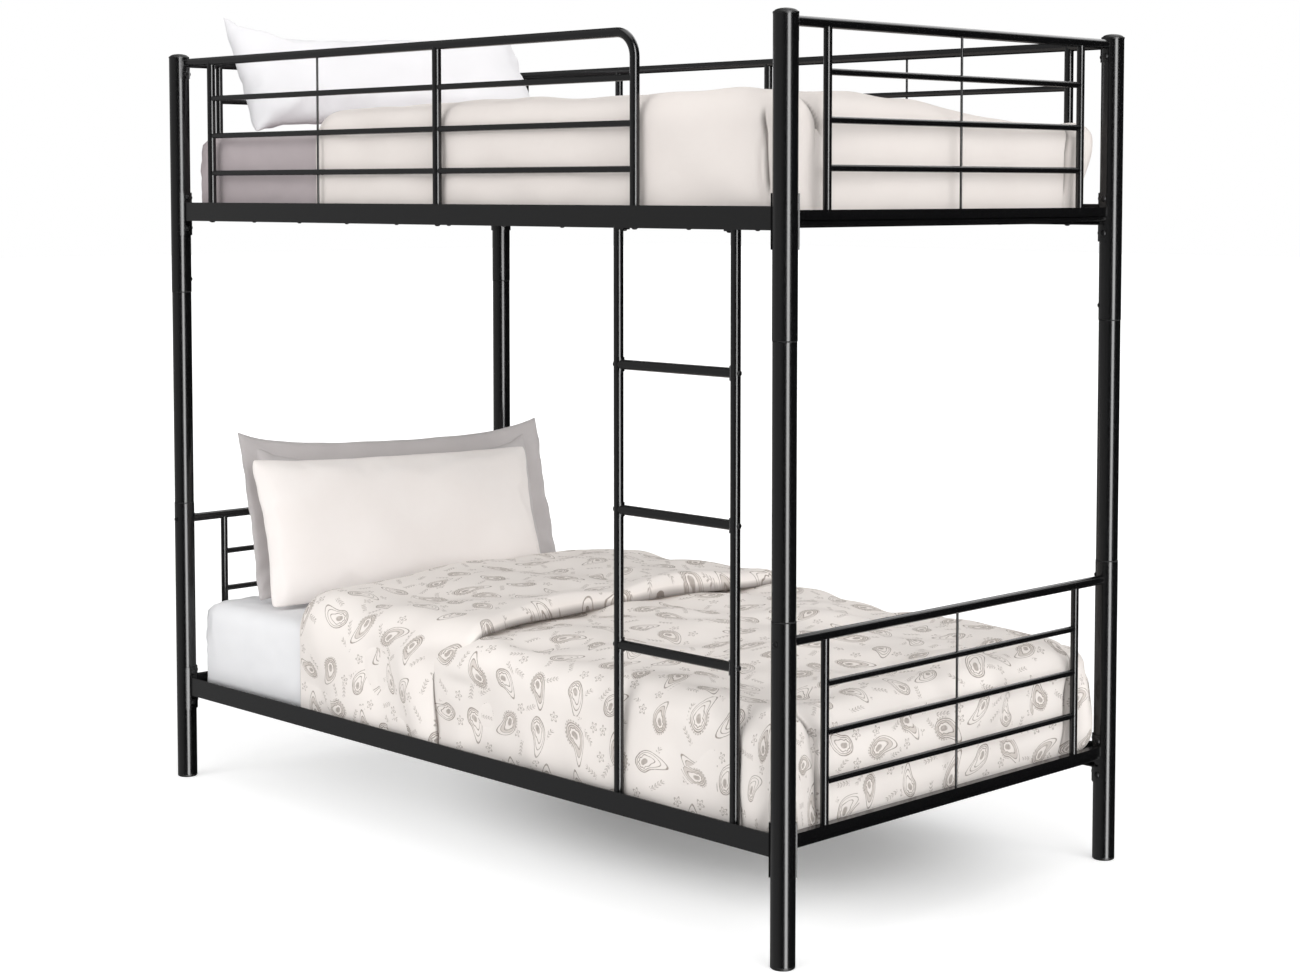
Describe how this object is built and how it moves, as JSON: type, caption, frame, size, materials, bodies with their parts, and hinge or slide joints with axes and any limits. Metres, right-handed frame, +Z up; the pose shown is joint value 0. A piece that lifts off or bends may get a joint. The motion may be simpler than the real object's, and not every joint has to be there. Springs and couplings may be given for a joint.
{
  "type": "bunk bed with ladder",
  "caption": "Twin-over-twin metal bunk bed with round posts, grid end panels, guard rails, a front ladder and made-up bedding on both bunks.",
  "frame": {"origin": "on the floor, midway between the four posts", "axes": "+X points to the foot end, -Y to the front with the ladder, +Z up"},
  "size_m": [1.9772, 1.042, 1.8164],
  "materials": {
    "black_powder_coat": "gloss black powder coat on steel",
    "black_fasteners": "black oxide button heads",
    "black_plastic": "smooth black moulded plastic",
    "zinc_steel": "bare zinc plated steel, hidden inside the tubes",
    "white_ticking": "white mattress ticking",
    "grey_cotton": "plain grey woven cotton",
    "sham_cotton": "plain mid grey woven cotton",
    "white_cotton": "plain white woven cotton",
    "cream_cotton": "plain cream quilted cotton",
    "printed_cotton": "off-white cotton with a traditional paisley print in grey beige",
    "ivory_cotton": "plain ivory woven cotton"
  },
  "bodies": {
    "root": {"lower_post_head_front": "black_powder_coat", "lower_post_head_rear": "black_powder_coat", "lower_post_foot_front": "black_powder_coat", "lower_post_foot_rear": "black_powder_coat", "mid_post_head_front": "black_powder_coat", "mid_post_head_rear": "black_powder_coat", "mid_post_foot_front": "black_powder_coat", "mid_post_foot_rear": "black_powder_coat", "upper_post_head_front": "black_powder_coat", "upper_post_head_rear": "black_powder_coat", "upper_post_foot_front": "black_powder_coat", "upper_post_foot_rear": "black_powder_coat", "cap_head_front": "black_plastic", "cap_head_rear": "black_plastic", "cap_foot_front": "black_plastic", "cap_foot_rear": "black_plastic", "glide_head_front": "black_plastic", "glide_head_rear": "black_plastic", "glide_foot_front": "black_plastic", "glide_foot_rear": "black_plastic", "joiner_sleeves": "zinc_steel", "joiner_screws": "black_fasteners", "upper_panel_head": "black_powder_coat", "upper_panel_foot": "black_powder_coat", "lower_panel_head": "black_powder_coat", "lower_panel_foot": "black_powder_coat", "upper_rail_front": "black_powder_coat", "upper_rail_rear": "black_powder_coat", "lower_rail_front": "black_powder_coat", "lower_rail_rear": "black_powder_coat", "guard_front": "black_powder_coat", "guard_rear": "black_powder_coat", "ladder_stile_left": "black_powder_coat", "ladder_stile_right": "black_powder_coat", "rung_bottom": "black_powder_coat", "rung_middle": "black_powder_coat", "rung_top": "black_powder_coat", "rung_bolts": "black_fasteners", "stile_bolts": "black_fasteners", "side_rail_bolts": "black_fasteners", "end_rail_bolts": "black_fasteners", "top_tube_bolts": "black_fasteners", "lower_tube_bolts": "black_fasteners", "guard_bolts": "black_fasteners", "wall_nuts": "zinc_steel", "upper_slats": "black_powder_coat", "lower_slats": "black_powder_coat", "slat_screws": "black_fasteners", "upper_mattress": "white_ticking", "upper_fitted_sheet": "grey_cotton", "comforter": "cream_cotton", "upper_pillow": "white_cotton", "lower_mattress": "white_ticking", "lower_fitted_sheet": "white_cotton", "duvet": "printed_cotton", "grey_sham": "sham_cotton", "white_pillow": "ivory_cotton"}
  },
  "joints": []
}
